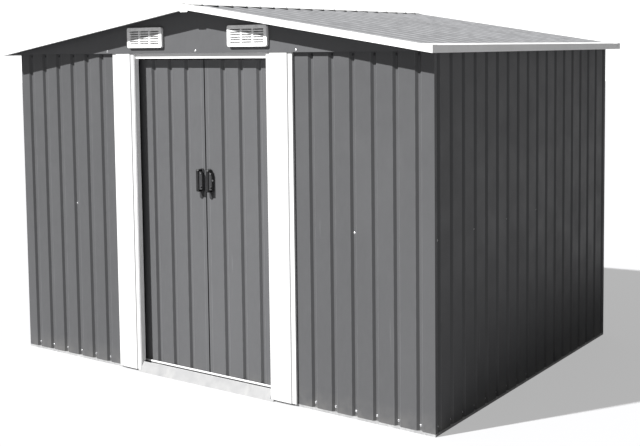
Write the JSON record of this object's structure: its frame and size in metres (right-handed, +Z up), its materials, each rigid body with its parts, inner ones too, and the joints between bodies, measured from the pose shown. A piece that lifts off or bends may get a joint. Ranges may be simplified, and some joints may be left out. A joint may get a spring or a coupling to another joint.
{
  "type": "metal storage shed",
  "caption": "Ribbed sheet-metal garden shed with a low gable roof, white trims and gable vents, and two sliding doors in its wide gable front.",
  "frame": {"origin": "middle of the footprint, on the ground, at the centre of the bounding box's base", "axes": "+Z up, +X to the right along the front wall, +Y from the front to the back; the doors face -Y"},
  "size_m": [2.5704, 2.0504, 1.7866],
  "materials": {
    "grey_sheet": "satin grey coil coating on thin steel sheet",
    "roof_sheet": "satin grey coil coating on thin steel sheet",
    "white_trim": "satin white coating on thin steel sheet",
    "galvanised": "hot-dip galvanised steel",
    "white_plastic": "moulded white plastic",
    "black_plastic": "moulded black plastic"
  },
  "bodies": {
    "root": {"base_rail_front": "galvanised", "base_rail_back": "galvanised", "base_rail_left": "galvanised", "base_rail_right": "galvanised", "threshold": "white_trim", "sill_track": "white_trim", "front_wall_left": "grey_sheet", "front_wall_right": "grey_sheet", "left_wall": "grey_sheet", "right_wall": "grey_sheet", "back_wall": "grey_sheet", "corner_posts": "galvanised", "mid_rails": "galvanised", "top_rail_front": "grey_sheet", "top_rail_back": "grey_sheet", "top_rail_left": "grey_sheet", "top_rail_right": "grey_sheet", "left_jamb": "white_trim", "right_jamb": "white_trim", "door_track": "white_trim", "front_gable_left": "grey_sheet", "front_gable_right": "grey_sheet", "back_gable_left": "grey_sheet", "back_gable_right": "grey_sheet", "front_vents": "white_plastic", "back_vents": "white_plastic", "roof_purlins": "galvanised", "roof_left": "roof_sheet", "roof_right": "roof_sheet", "ridge_cap": "white_trim", "front_rake_left": "white_trim", "front_rake_right": "white_trim", "back_rake_left": "white_trim", "back_rake_right": "white_trim", "eave_trim_left": "white_trim", "eave_trim_right": "white_trim", "roof_corner_caps": "white_trim"},
    "left_door": {"left_door": "grey_sheet", "left_door_rails": "galvanised", "left_door_sliders": "black_plastic", "left_handle": "black_plastic"},
    "right_door": {"right_door": "grey_sheet", "right_door_rails": "galvanised", "right_door_sliders": "black_plastic", "right_handle": "black_plastic"}
  },
  "joints": [
    {"name": "left_door_slide", "type": "slide", "parent": "root", "child": "left_door", "axis": [-1, 0, 0], "range_m": [0, 0.345]},
    {"name": "right_door_slide", "type": "slide", "parent": "root", "child": "right_door", "axis": [1, 0, 0], "range_m": [0, 0.345]}
  ]
}
